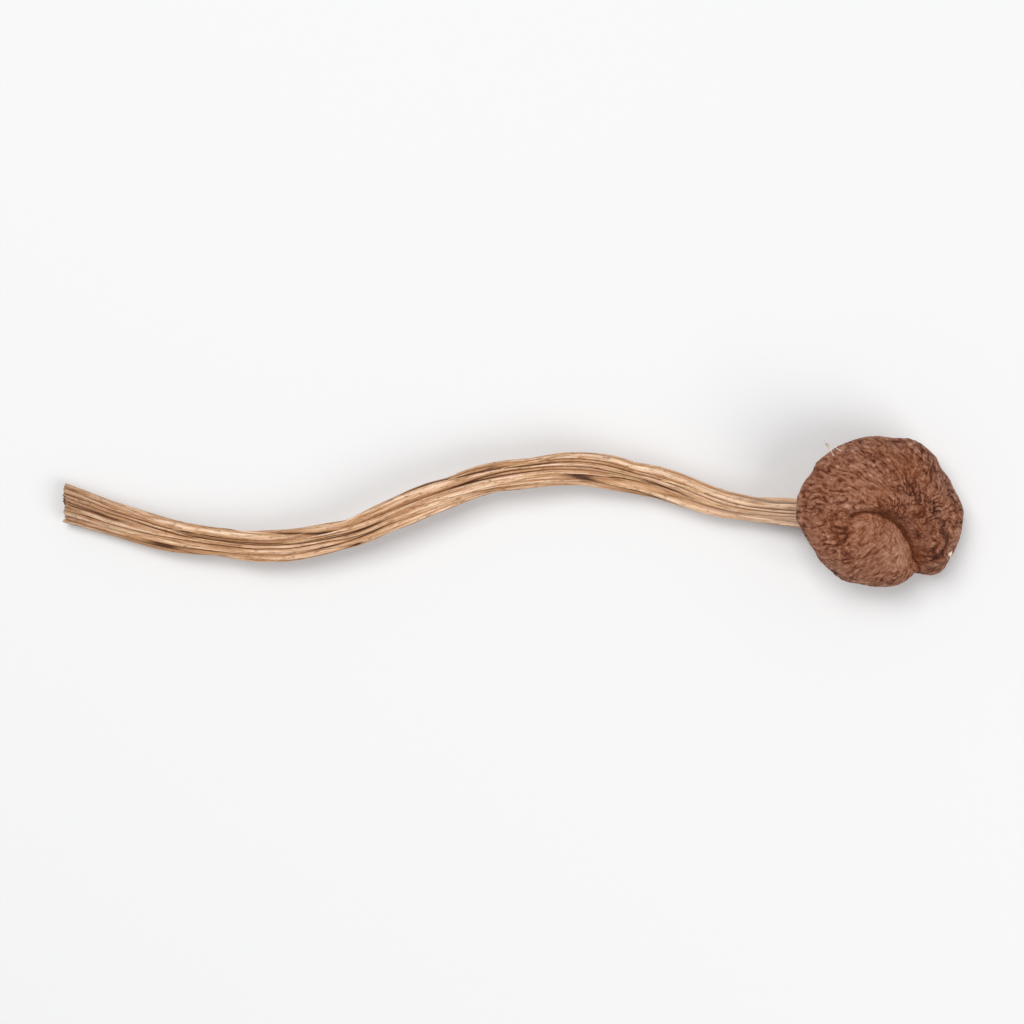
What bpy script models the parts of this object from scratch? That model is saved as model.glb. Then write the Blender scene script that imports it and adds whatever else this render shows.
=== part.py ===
"""A dried tea tree mushroom, lying on its side as it comes out of the pack.

It grew as one piece, so it is one solid: a curled cap with a netted skin, the gills and the
torn veil under it, and a long ribbed stem that was cut at its base.
The shape is laid out in millimetres and scaled to metres at the end. X runs along the stem
towards the cap, Z is up, and Z = 0 is the surface that the mushroom lies on.
"""
import math

import bmesh
import bpy
from mathutils import Matrix, Vector, noise

MM = 0.001  # metres in a millimetre

# Middle of the mushroom's length and width as it is laid out here: the finished part's origin
ORIGIN = Vector((-0.01, -0.187, 0.0))

# The cap: where its rim's centre lies, how far it leans towards +X, and its size
CAP_CENTRE = Vector((59.5, 0.0, 5.33))
CAP_LEAN = math.radians(24.0)
CAP_ROLL = math.radians(2.7)
CAP_HALF_LENGTH = 15.0
CAP_HALF_WIDTH = 12.4

# One half of the cap cut down the middle: share of the cap's radius, height above the rim
CAP_PROFILE = (
    (0.00, 12.0),  # crown
    (0.25, 11.8),
    (0.50, 10.9),
    (0.73, 9.1),
    (0.91, 6.5),
    (1.00, 3.6),  # widest
    (0.97, 1.4),
    (0.88, 0.2),  # lowest part of the rolled edge
    (0.78, 0.3),
    (0.73, 1.3),  # the rolled edge ends here
    (0.76, 2.5),
    (0.78, 3.8),
    (0.71, 5.4),
    (0.54, 6.6),
    (0.32, 7.0),
    (0.15, 6.9),
    (0.00, 6.9),
)
WIDEST = 5.0
ROLL_END = 9.0
CENTRE_BELOW = 16.0
# How the rings of the cap are shared out: (ring, place counted in points of the profile)
CAP_RINGS = ((0, 0.0), (18, WIDEST), (24, 9.5), (32, CENTRE_BELOW))
CAP_SIDES = 112

# The veil in place of the gills, from the end of the rolled edge inwards, and where it is still whole
VEIL_PROFILE = (
    (0.73, 1.3),
    (0.72, 1.8),
    (0.69, 2.3),
    (0.62, 2.9),
    (0.50, 3.5),
    (0.36, 4.2),
    (0.22, 5.0),
    (0.00, 5.4),
)
VEIL_START = math.radians(20.0)
VEIL_END = math.radians(182.0)
VEIL_TORN = 0.55
VEIL_SAG = 0.3

GILLS = 28
GILL_DEPTH = 2.6

# The cap's outline against a plain oval: a lip drawn out beside the cleft where the crease ends
LIP_AT, LIP_WIDTH, LIP_REACH = math.radians(-43.0), math.radians(17.0), 0.13
CLEFT_AT, CLEFT_WIDTH, CLEFT_REACH = math.radians(-61.0), math.radians(8.5), 0.12
UNEVEN_OUTLINE = 0.045

# The rolled edge rises and dips round the cap: (waves, height, phase)
RIM_WAVES = ((5.0, 0.8, 0.25), (3.0, 0.4, 1.9))

# The comma-shaped crease where the crown caved in, seen from above the cap
CREASE = (
    (-7.2, -4.6),
    (-7.0, -2.2),
    (-5.1, -0.4),
    (-2.3, -0.1),
    (0.5, -1.7),
    (3.2, -4.4),
    (5.6, -7.6),
    (7.1, -10.6),
    (7.9, -13.5),
)
CREASE_POINTS = 42
CREASE_DEPTH = 3.3
CREASE_INNER_WIDTH = 3.3
CREASE_OUTER_WIDTH = 1.3
SWELL_BESIDE, SWELL_WIDTH, SWELL_HEIGHT = 3.6, 1.6, 0.8
CREASE_BELOW = 0.6
EDGE_HEIGHTS = 0.8, 4.5  # the rolled edge, at these heights or lower, doesn't sink with the crown

# Raised net of the dried skin, and the puckers that run to its edge
NET_CELL = 3.0
NET_HEIGHT = 0.42
NET_RIDGE = 0.28
PUCKERS = 4.2
PUCKER_HEIGHT = 0.45

# The stem's middle line from its cut base to inside the cap
STEM_ROUTE = (
    (-75.2, 1.4, 1.6),
    (-66.0, -1.6, 2.6),
    (-54.0, -4.6, 3.9),
    (-40.0, -5.8, 5.2),
    (-27.0, -3.6, 6.0),
    (-14.0, 1.9, 6.5),
    (-2.0, 5.6, 6.4),
    (10.8, 7.0, 5.8),
    (23.4, 4.9, 5.0),
    (35.7, 0.8, 4.5),
    (46.9, -0.35, 5.0),
    (52.6, -0.3, 6.4),
    (57.4, -0.1, 8.4),
    (60.7, 0.0, 10.3),
    (62.5, 0.0, 12.1),
)
# Full width of the flattened stem at shares of its length
STEM_WIDTHS = (
    (0.00, 6.2),
    (0.05, 5.6),
    (0.18, 4.9),
    (0.36, 5.3),
    (0.52, 5.0),
    (0.66, 5.6),
    (0.82, 4.6),
    (0.93, 4.7),
    (1.00, 5.2),
)
STEM_FLATNESS = 0.68
STEM_SIDES = 24
STEM_RINGS = 78
STEM_SWELLS = 0.3
STEM_TURN = 0.012  # radians a millimetre
STEM_SWAY = math.radians(14.0)
SWAY_LENGTH = 24.0

# Ribs between the furrows of the dried stem, and the one deep furrow where it fell in
RIBS_ROUND = 1.15
RIB_LENGTH = 24.0
RIB_DEPTH = 0.62
RIB_WIDTH = 0.2
FURROW_DEPTH = 0.85
FURROW_WIDTH = 0.42
FURROW_AT = math.radians(70.0)
FURROW_WANDER, WANDER_LENGTH = 0.9, 31.0

# What the veil left round the stem, and the cut at the base
COLLAR_FROM_TOP = 8.5
COLLAR_HEIGHT = 0.55
COLLAR_WIDTH = 1.1
BASE_DISH = 0.9
BASE_SKEW = 1.1
SKEW_LENGTH = 8.0


def smoothstep(low, high, x):
    """0 below low, 1 above high, and a smooth step between them."""
    t = min(1.0, max(0.0, (x - low) / (high - low)))
    return t * t * (3.0 - 2.0 * t)


def bell(x, width):
    """1 at x = 0, falling smoothly to nothing past a few widths."""
    return math.exp(-((x / width) ** 2))


def turn_between(a, b):
    """The smaller angle from b to a, with its sign."""
    return (a - b + math.pi) % (2.0 * math.pi) - math.pi


def noise_round(angle, radius, height):
    """Noise on a ring, so that it has no seam where the angle starts again."""
    return noise.noise(Vector((radius * math.cos(angle), radius * math.sin(angle), height)))


def read_table(table, x):
    """A value read from (x, value) pairs, with straight lines between them."""
    for (x0, v0), (x1, v1) in zip(table, table[1:]):
        if x <= x1:
            return v0 + (v1 - v0) * (x - x0) / (x1 - x0)
    return table[-1][1]


def curve_at(points, t):
    """The point at t, counted in points, on the smooth curve through points."""
    i = min(int(t), len(points) - 2)
    f = t - i
    p1, p2 = points[i], points[i + 1]
    p0 = points[i - 1] if i > 0 else 2.0 * p1 - p2
    p3 = points[i + 2] if i + 2 < len(points) else 2.0 * p2 - p1
    bend = (2.0 * p0 - 5.0 * p1 + 4.0 * p2 - p3) * f * f + (3.0 * p1 - p0 - 3.0 * p2 + p3) * f * f * f
    return 0.5 * (2.0 * p1 + (p2 - p0) * f + bend)


def even_points(points, count):
    """count points at even distances along the smooth curve through points, and its length."""
    steps = 40 * (len(points) - 1)
    fine = [curve_at(points, (len(points) - 1) * k / steps) for k in range(steps + 1)]
    along = [0.0]
    for a, b in zip(fine, fine[1:]):
        along.append(along[-1] + (b - a).length)
    even = []
    k = 0
    for i in range(count):
        target = along[-1] * i / (count - 1)
        while k < steps - 1 and along[k + 1] < target:
            k += 1
        even.append(fine[k].lerp(fine[k + 1], (target - along[k]) / (along[k + 1] - along[k])))
    return even, along[-1]


# The cap

CAP_CURVE = [Vector(p) for p in CAP_PROFILE]
VEIL_CURVE = [Vector(p) for p in VEIL_PROFILE]
CREASE_LINE = even_points([Vector(p) for p in CREASE], CREASE_POINTS)[0]


def crease_sink(x, y):
    """How far the crown has sunk at (x, y): steep on the outer side of the crease, gentle inside it."""
    here = Vector((x, y))
    sunk, swollen, nearest, side = 0.0, 0.0, math.inf, 0.0
    for k, (a, b) in enumerate(zip(CREASE_LINE, CREASE_LINE[1:])):
        along, off = (b - a).normalized(), here - a
        outward = along.x * off.y - along.y * off.x
        outer = smoothstep(-1.0, 1.0, outward)
        strength = smoothstep(-0.05, 0.42, k / CREASE_POINTS)
        width = CREASE_INNER_WIDTH + (CREASE_OUTER_WIDTH - CREASE_INNER_WIDTH) * outer
        sunk = max(sunk, strength * CREASE_DEPTH * bell(off.length, width))
        swollen = max(swollen, strength * SWELL_HEIGHT * bell(off.length - SWELL_BESIDE, SWELL_WIDTH))
        if off.length < nearest:
            nearest, side = off.length, outward
    return sunk - swollen * smoothstep(0.0, 1.0, side)


def outline_factor(angle):
    """The cap's reach at an angle round it, against a plain oval."""
    lip = LIP_REACH * bell(turn_between(angle, LIP_AT), LIP_WIDTH)
    cleft = CLEFT_REACH * bell(turn_between(angle, CLEFT_AT), CLEFT_WIDTH)
    return 1.0 + lip - cleft + UNEVEN_OUTLINE * noise_round(angle, 1.3, 4.7)


def rim_wave(angle):
    """How far the rolled edge rises or dips at an angle round the cap."""
    return sum(height * math.cos(waves * angle + phase) for waves, height, phase in RIM_WAVES)


def veil_cover(angle, share):
    """1 where the veil still closes the underside and 0 where it has torn away."""
    after_start = turn_between(angle, VEIL_START) + VEIL_TORN * noise.noise(Vector((6.0 * share, 1.7, 0.4)))
    before_end = turn_between(VEIL_END, angle) + VEIL_TORN * noise.noise(Vector((5.0 * share, 7.3, 2.6)))
    return smoothstep(-0.02, 0.02, min(after_start, before_end))


def gill_drop(angle, share):
    """How far the gills hang below the flesh: full depth on a gill, none between two."""
    on_gill = abs((angle * GILLS / (2.0 * math.pi)) % 1.0 - 0.5) < 0.25
    return GILL_DEPTH * smoothstep(0.78, 0.64, share) * smoothstep(0.1, 0.45, share) if on_gill else 0.0


def skin_relief(x, y, z, share, angle):
    """Height of the net of wrinkles on the skin, and of the puckers that run to its edge."""
    warp = 0.9 * noise.noise(Vector((x, y, z)) * 0.22)
    near = noise.voronoi(Vector((x + warp, y - warp, z)) / NET_CELL)[0]
    net = NET_HEIGHT * bell(near[1] - near[0], NET_RIDGE)
    pucker = PUCKER_HEIGHT * noise_round(angle, PUCKERS, 1.1 * share)
    return net + pucker * smoothstep(0.55, 0.95, share)


def cap_point(ring, angle):
    """A point of the cap, in the cap's own axes, at a ring counted from the crown."""
    station = read_table(CAP_RINGS, ring)
    share, height = curve_at(CAP_CURVE, station)
    wide = 1.0 + (outline_factor(angle) - 1.0) * smoothstep(0.2, 0.9, share)
    reach = Vector((CAP_HALF_LENGTH * math.cos(angle), CAP_HALF_WIDTH * math.sin(angle))) * wide
    cover = 0.0
    above_edge = smoothstep(*EDGE_HEIGHTS, height)
    if station > ROLL_END:
        cover = veil_cover(angle, share)
        veil = curve_at(VEIL_CURVE, station - ROLL_END)
        sag = VEIL_SAG * noise_round(angle, 3.0, 3.0 * share)
        sag *= smoothstep(ROLL_END + 0.5, ROLL_END + 2.0, station)
        height -= gill_drop(angle, share)
        height += (veil.y + sag - height) * cover
        share += (veil.x - share) * cover
    x, y = reach * share
    point = Vector((x, y, height))

    if station < ROLL_END:
        ahead = curve_at(CAP_CURVE, station + 0.02) - curve_at(CAP_CURVE, max(station - 0.02, 0.0))
        ahead.x *= reach.length
        out, up = Vector((-ahead.y, ahead.x)).normalized()
        relief = skin_relief(x, y, height, share, angle) * smoothstep(ROLL_END, 6.0, station)
        point += Vector((out * math.cos(angle), out * math.sin(angle), up)) * relief

    sinking = crease_sink(x, y) * smoothstep(1.0, 0.72, share) * above_edge
    if station > ROLL_END:
        sinking *= CREASE_BELOW * smoothstep(0.15, 0.5, share) * (1.0 - cover)
    point.z += rim_wave(angle) * smoothstep(0.45, 0.95, share) - sinking
    return point


def make_cap():
    """The cap as a ball whose rings are drawn out along the profile, then leaned into place."""
    bm = bmesh.new()
    rings = CAP_RINGS[-1][0]
    bmesh.ops.create_uvsphere(bm, u_segments=CAP_SIDES, v_segments=rings, radius=1.0)
    for vert in bm.verts:
        ring = rings * math.acos(max(-1.0, min(1.0, vert.co.z))) / math.pi
        half_side = math.pi / CAP_SIDES
        vert.co = cap_point(ring, math.atan2(vert.co.y, vert.co.x) + half_side)
    place = Matrix.Translation(CAP_CENTRE)
    place @= Matrix.Rotation(CAP_LEAN, 4, "Y") @ Matrix.Rotation(CAP_ROLL, 4, "X")
    bmesh.ops.transform(bm, matrix=place, verts=bm.verts)
    return bm


# The stem


def stem_reach(angle, along, length):
    """Distance of the stem's surface from its middle line, at an angle round it and mm along it."""
    half_width = 0.5 * read_table(STEM_WIDTHS, along / length)
    half_thick = half_width * STEM_FLATNESS
    oval = half_width * half_thick / math.hypot(half_thick * math.cos(angle), half_width * math.sin(angle))
    ribs = noise_round(angle + STEM_TURN * along, RIBS_ROUND, along / RIB_LENGTH)
    valley = RIB_DEPTH * (bell(ribs, RIB_WIDTH) - 0.35)
    furrow_at = FURROW_AT + FURROW_WANDER * math.sin(along / WANDER_LENGTH)
    furrow = FURROW_DEPTH * bell(turn_between(angle, furrow_at), FURROW_WIDTH)
    furrow *= smoothstep(8.0, 26.0, along) * smoothstep(0.0, 14.0, length - along)
    swell = STEM_SWELLS * noise_round(angle, 0.7, along / 13.0)
    from_collar = along - (length - COLLAR_FROM_TOP) - 0.8 * noise_round(angle, 1.0, 8.3)
    return oval - valley - furrow + swell + COLLAR_HEIGHT * bell(from_collar, COLLAR_WIDTH)


def make_stem():
    """The stem as a rod cut into rings, then laid along its route and squeezed into ribs."""
    bm = bmesh.new()
    bmesh.ops.create_cone(
        bm, cap_ends=True, cap_tris=True, segments=STEM_SIDES, radius1=1.0, radius2=1.0, depth=2.0
    )
    long_edges = [e for e in bm.edges if abs(e.verts[0].co.z - e.verts[1].co.z) > 1.0]
    bmesh.ops.subdivide_edges(bm, edges=long_edges, cuts=STEM_RINGS - 1, use_grid_fill=True)

    route, length = even_points([Vector(p) for p in STEM_ROUTE], STEM_RINGS + 1)
    for vert in bm.verts:
        ring = round((vert.co.z + 1.0) / 2.0 * STEM_RINGS)
        here = route[ring]
        ahead = (route[min(ring + 1, STEM_RINGS)] - route[max(ring - 1, 0)]).normalized()
        if math.hypot(vert.co.x, vert.co.y) < 0.5:
            vert.co = here + ahead * (BASE_DISH if ring == 0 else 0.0)
            continue
        across = ahead.cross(Vector((0.0, 0.0, 1.0))).normalized()
        upward = across.cross(ahead)
        along = length * ring / STEM_RINGS
        angle = math.atan2(vert.co.y, vert.co.x)
        swayed = angle + STEM_SWAY * math.sin(along / SWAY_LENGTH)
        outward = across * math.cos(swayed) + upward * math.sin(swayed)
        skew = BASE_SKEW * math.cos(angle - 0.6) * smoothstep(SKEW_LENGTH, 0.0, along)
        vert.co = here + outward * stem_reach(angle, along, length) + ahead * skew
    return bm


# The whole mushroom

# Where its three low points are to be found
FOOTINGS = (
    ("cut base", lambda co: co.x < -60.0),
    ("rolled edge, +Y", lambda co: co.x > 50.0 and co.y > 1.5),
    ("rolled edge, -Y", lambda co: co.x > 50.0 and co.y < -1.5),
)


def new_object(name, bm):
    """A bmesh as an object with its faces pointing out."""
    mesh = bpy.data.meshes.new(name)
    bmesh.ops.recalc_face_normals(bm, faces=bm.faces)
    bm.to_mesh(mesh)
    bm.free()
    obj = bpy.data.objects.new(name, mesh)
    bpy.context.scene.collection.objects.link(obj)
    return obj


def join(body, limb):
    """body with limb grown into it, as one closed mesh; limb's own object is then removed."""
    union = body.modifiers.new("Union", "BOOLEAN")
    union.operation = "UNION"
    union.solver = "EXACT"
    union.object = limb
    graph = bpy.context.evaluated_depsgraph_get()
    body.data = bpy.data.meshes.new_from_object(body.evaluated_get(graph))
    body.modifiers.clear()
    bpy.data.objects.remove(limb)


def press_flat(bm):
    """Cuts what dips under the surface, so the mushroom lies on small flat spots, and returns them."""
    everything = bm.verts[:] + bm.edges[:] + bm.faces[:]
    bmesh.ops.bisect_plane(
        bm, geom=everything, dist=1e-5, plane_co=(0.0, 0.0, 0.0), plane_no=(0.0, 0.0, -1.0), clear_outer=True
    )
    cut = [e for e in bm.edges if e.is_boundary]
    return bmesh.ops.holes_fill(bm, edges=cut, sides=0)["faces"]


def dried_flesh():
    """The brown of the dried mushroom."""
    material = bpy.data.materials.new("dried_flesh")
    material.use_nodes = True
    surface = material.node_tree.nodes["Principled BSDF"]
    surface.inputs["Base Color"].default_value = (0.36, 0.2, 0.11, 1.0)
    surface.inputs["Roughness"].default_value = 0.78
    surface.inputs["Metallic"].default_value = 0.0
    return material


def main():
    for old in list(bpy.data.objects):
        bpy.data.objects.remove(old)
    mushroom = new_object("mushroom", make_cap())
    join(mushroom, new_object("stem_rod", make_stem()))

    bm = bmesh.new()
    bm.from_mesh(mushroom.data)
    for name, inside in FOOTINGS:
        lowest = min((v.co for v in bm.verts if inside(v.co)), key=lambda co: co.z)
        print("lowest at the", name, [round(c, 2) for c in lowest])
    bmesh.ops.transform(bm, matrix=Matrix.Translation(-ORIGIN), verts=bm.verts)
    for spot in press_flat(bm):
        centre = spot.calc_center_median_weighted()
        print("flat spot, mm2 and place", round(spot.calc_area(), 2), [round(c, 2) for c in centre])
    for axis in range(3):
        reach = sorted(v.co[axis] for v in bm.verts)
        print("from", round(reach[0], 3), "to", round(reach[-1], 3), "along", "XYZ"[axis])
    bmesh.ops.triangulate(bm, faces=bm.faces)
    print("volume, mm3", round(bm.calc_volume()), "in", len(bm.faces), "triangles")
    bmesh.ops.transform(bm, matrix=Matrix.Scale(MM, 4), verts=bm.verts)
    bm.to_mesh(mushroom.data)
    bm.free()
    mushroom.data.shade_smooth()
    mushroom.data.set_sharp_from_angle(angle=math.radians(50.0))
    mushroom.data.materials.clear()
    mushroom.data.materials.append(dried_flesh())


main()
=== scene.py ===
# %% [markdown]
# # A dried tea tree mushroom
# This notebook dresses the plain solid of one dried mushroom: a curled brown cap with a wrinkled
# skin, thin gills, a torn cream veil and a long ribbed stem. The solid gives the size and the
# place of everything. The pieces made here follow the same outline, but finely.

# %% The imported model
import math

import bmesh
import bpy
import numpy as np
from mathutils import Matrix, Vector, noise


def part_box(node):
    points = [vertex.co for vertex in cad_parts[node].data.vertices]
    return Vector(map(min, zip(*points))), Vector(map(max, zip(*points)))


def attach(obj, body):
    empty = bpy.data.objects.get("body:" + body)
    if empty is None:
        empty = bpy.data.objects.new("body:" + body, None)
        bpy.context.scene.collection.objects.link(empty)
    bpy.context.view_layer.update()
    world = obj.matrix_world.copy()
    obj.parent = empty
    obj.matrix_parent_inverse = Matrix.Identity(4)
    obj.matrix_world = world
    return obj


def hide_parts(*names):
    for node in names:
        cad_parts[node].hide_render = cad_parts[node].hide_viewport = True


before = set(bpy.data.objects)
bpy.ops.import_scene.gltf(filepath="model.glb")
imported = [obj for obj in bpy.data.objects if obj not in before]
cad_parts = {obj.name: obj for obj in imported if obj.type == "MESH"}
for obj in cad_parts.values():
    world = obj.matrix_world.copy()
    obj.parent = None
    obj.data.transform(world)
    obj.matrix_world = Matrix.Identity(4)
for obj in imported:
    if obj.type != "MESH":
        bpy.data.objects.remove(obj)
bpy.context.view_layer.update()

lowest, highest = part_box("mushroom")
print("the solid, mm:", [round(1000 * side, 1) for side in highest - lowest])

# %% [markdown]
# ## Small tools for shapes
# A mushroom has no straight edge and no exact circle. Its form comes from a few smooth functions:
# a step from one value to another, a bell-shaped bump, and noise. They take whole arrays, so a mesh
# of a hundred thousand points is worked out in a second or two. The noise comes from Blender's own
# mathutils, whose pattern never changes, so the mushroom is the same on every run. A bare number
# among the places that noise is asked for only picks another part of its pattern.

# %% Steps, bumps and noise
MM = 0.001  # metres in a millimetre


def smoothstep(low, high, x):
    """0 below low, 1 above high, and a smooth step between them."""
    t = np.clip((x - low) / (high - low), 0.0, 1.0)
    return t * t * (3.0 - 2.0 * t)


def bell(x, width):
    """1 at x = 0, falling smoothly to nothing past a few widths."""
    return np.exp(-((x / width) ** 2))


def turn_between(a, b):
    """The smaller angle from b to a, with its sign."""
    return (a - b + math.pi) % (2.0 * math.pi) - math.pi


def noise_at(x, y, z):
    """Blender's noise, about -0.7 to 0.7, at every point of three arrays."""
    x, y, z = np.broadcast_arrays(x, y, z)
    points = np.stack((x, y, z), axis=-1).reshape(-1, 3).tolist()
    return np.array([noise.noise(p) for p in points]).reshape(x.shape)


def noise_of(points, size, shift=0.0):
    """Noise whose bumps are about size across, at the rows of points."""
    return noise_at(*(points / size).T + shift)


def noise_round(angle, radius, height):
    """Noise on a ring, so that it has no seam where the angle starts again."""
    return noise_at(radius * np.cos(angle), radius * np.sin(angle), height)


print("noise at one place:", round(float(noise_at(0.3, 0.7, 0.2)), 3))

# %% Smooth curves through a few points
STEPS_BETWEEN = 40  # short straight steps that stand for the curve from one point to the next


def curve_at(points, t):
    """The places at t, counted in points, on the smooth curve through points."""
    knots = np.vstack((2.0 * points[0] - points[1], points, 2.0 * points[-1] - points[-2]))
    i = np.clip(np.floor(t).astype(int), 0, len(points) - 2)
    f = (t - i)[..., None]
    p0, p1, p2, p3 = knots[i], knots[i + 1], knots[i + 2], knots[i + 3]
    bend = (2.0 * p0 - 5.0 * p1 + 4.0 * p2 - p3) * f * f + (3.0 * p1 - p0 - 3.0 * p2 + p3) * f * f * f
    return 0.5 * (2.0 * p1 + (p2 - p0) * f + bend)


def even_points(points, count):
    """count points at even distances along the smooth curve through points, and its length."""
    t = np.linspace(0.0, len(points) - 1.0, STEPS_BETWEEN * (len(points) - 1) + 1)
    fine = curve_at(points, t)
    along = np.append(0.0, np.cumsum(np.linalg.norm(np.diff(fine, axis=0), axis=1)))
    even = np.linspace(0.0, along[-1], count)
    return np.column_stack([np.interp(even, along, column) for column in fine.T]), along[-1]


# %% [markdown]
# ## From a bmesh to a finished piece
# Every piece starts as a simple bmesh shape whose points are then moved. Vertex layers, which are
# called attributes on the mesh, keep what the material needs to know later, such as how deep a
# point lies in a wrinkle. A piece's object stays at the origin, because its place is in its mesh.
# A point that would go below the surface that the mushroom lies on is pressed flat against it.

# %% Finishing a piece
ORIGIN = Vector((-0.01, -0.187, 0.0))  # the middle of the mushroom's length and width, mm


def move_to(verts, points):
    """Moves vertices to the rows of points."""
    for vert, point in zip(verts, points.tolist()):
        vert.co = point


def new_object(name, data):
    """An object in the scene, at the origin."""
    added = bpy.data.objects.new(name, data)
    bpy.context.scene.collection.objects.link(added)
    return added


def finish_piece(name, bm, place=Matrix.Identity(4)):
    """A bmesh in millimetres as a finished piece, at its place, that stands for the solid."""
    bmesh.ops.transform(bm, matrix=place, verts=bm.verts)
    for vert in bm.verts:
        vert.co.z = max(vert.co.z, 0.0)
    bmesh.ops.recalc_face_normals(bm, faces=bm.faces)
    to_frame = Matrix.Scale(MM, 4) @ Matrix.Translation(-ORIGIN)
    bmesh.ops.transform(bm, matrix=to_frame, verts=bm.verts)
    mesh = bpy.data.meshes.new(name)
    bm.to_mesh(mesh)
    bm.free()
    mesh.shade_smooth()
    piece = new_object(name, mesh)
    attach(piece, "root")
    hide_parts("mushroom")
    print(name, "has", sum(len(face.vertices) - 2 for face in mesh.polygons), "triangles")
    return piece


# %% [markdown]
# ## The form of the cap
# While it dried, the cap curled its rim inwards and its crown caved in along a comma-shaped crease.
# One half of its outline, from the crown over the widest place and round the rolled rim to the
# underside, is a curve of (share of the reach, height). It is swept round the cap, and the outline,
# the waves of the rim and the crease then change it. These values are the solid's own, apart from
# the head of the crease, which runs on a little further here.

# %% The cap's measures
CAP_CENTRE = Vector((59.5, 0.0, 5.33))
CAP_LEAN, CAP_ROLL = math.radians(24.0), math.radians(2.7)
CAP_HALF_LENGTH, CAP_HALF_WIDTH = 15.0, 12.4

CAP_PROFILE = np.array((
    (0.00, 12.0),  # crown
    (0.25, 11.8),
    (0.50, 10.9),
    (0.73, 9.1),
    (0.91, 6.5),
    (1.00, 3.6),  # widest
    (0.97, 1.4),
    (0.88, 0.2),  # lowest part of the rolled edge
    (0.78, 0.3),
    (0.73, 1.3),  # the rolled edge ends here
    (0.76, 2.5),
    (0.78, 3.8),
    (0.71, 5.4),
    (0.54, 6.6),
    (0.32, 7.0),
    (0.15, 6.9),
    (0.00, 6.9),
))
WIDEST, ROLL_END, CENTRE_BELOW = 5.0, 9.0, 16.0

LIP_AT, LIP_WIDTH, LIP_REACH = math.radians(-43.0), math.radians(17.0), 0.13
CLEFT_AT, CLEFT_WIDTH, CLEFT_REACH = math.radians(-61.0), math.radians(8.5), 0.12
UNEVEN_OUTLINE, UNEVEN_WAVES = 0.045, 1.3
RIM_WAVES = ((5.0, 0.8, 0.25), (3.0, 0.4, 1.9))  # waves round the cap, height, phase
OUTLINE_FADE, RIM_FADE = (0.2, 0.9), (0.45, 0.95)  # shares of the reach over which they come in


def outline_factor(angle):
    """The cap's reach at an angle round it, against a plain oval."""
    lip = LIP_REACH * bell(turn_between(angle, LIP_AT), LIP_WIDTH)
    cleft = CLEFT_REACH * bell(turn_between(angle, CLEFT_AT), CLEFT_WIDTH)
    return 1.0 + lip - cleft + UNEVEN_OUTLINE * noise_round(angle, UNEVEN_WAVES, 4.7)


def rim_wave(angle):
    """How far the rolled edge rises or dips at an angle round the cap."""
    return sum(height * np.cos(waves * angle + phase) for waves, height, phase in RIM_WAVES)


# %% [markdown]
# The crease is a line seen from above. Across it the surface drops steeply on the outer side and
# rises gently on the inner side, and a low swell runs beside it. On the real cap the outer band
# also leans over the sunken part, so the points of the wall are moved a little towards the crease.

# %% The crease
CREASE = np.array((
    (-10.4, -3.9), (-9.9, -1.6), (-8.1, 0.0), (-5.4, 0.4), (-2.3, -0.1),
    (0.5, -1.7), (3.2, -4.4), (5.6, -7.6), (7.1, -10.6), (7.9, -13.5),
))
CREASE_POINTS = 84
CREASE_DEPTH, CREASE_GROWS = 3.3, (0.06, 0.45)  # mm, shares of its length
CREASE_INNER_WIDTH, CREASE_OUTER_WIDTH = 3.3, 1.3
SLIT_DEPTH, SLIT_WIDTH, SLIT_GROWS = 0.8, 0.5, (-0.02, 0.16)  # the narrow slit along its bottom
SWELL_HEIGHT, SWELL_WIDTH, SWELL_BESIDE = 0.8, 1.6, 3.6
LEAN_OVER, LEAN_WIDTH, LEAN_BESIDE = 1.0, 0.9, 1.5
CREASE_FADE = 1.0, 0.72  # shares of the reach over which it comes in from the rim
EDGE_HEIGHTS = 0.8, 4.5  # the rolled edge, at these heights or lower, doesn't sink with the crown
CREASE_BELOW, BELOW_FADE = 0.6, (0.15, 0.5)  # how much of it the underside follows, away from the stem
CREASE_BLUR = 0.8  # mm of the crease that count together at a place beside it
SIDE_BLUR = 1.0  # mm over which its inner side turns into its outer side
TINY = 1e-300  # keeps the weights far away from being divided by 0
CREASE_LINE, crease_length = even_points(CREASE, CREASE_POINTS)
CREASE_SHARE = np.arange(CREASE_POINTS - 1) / (CREASE_POINTS - 1)
CREASE_STRENGTH = smoothstep(*CREASE_GROWS, CREASE_SHARE)
SLIT_STRENGTH = smoothstep(*SLIT_GROWS, CREASE_SHARE)
CREASE_WAY = np.diff(CREASE_LINE, axis=0)
CREASE_WAY /= np.linalg.norm(CREASE_WAY, axis=1)[:, None]


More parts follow.
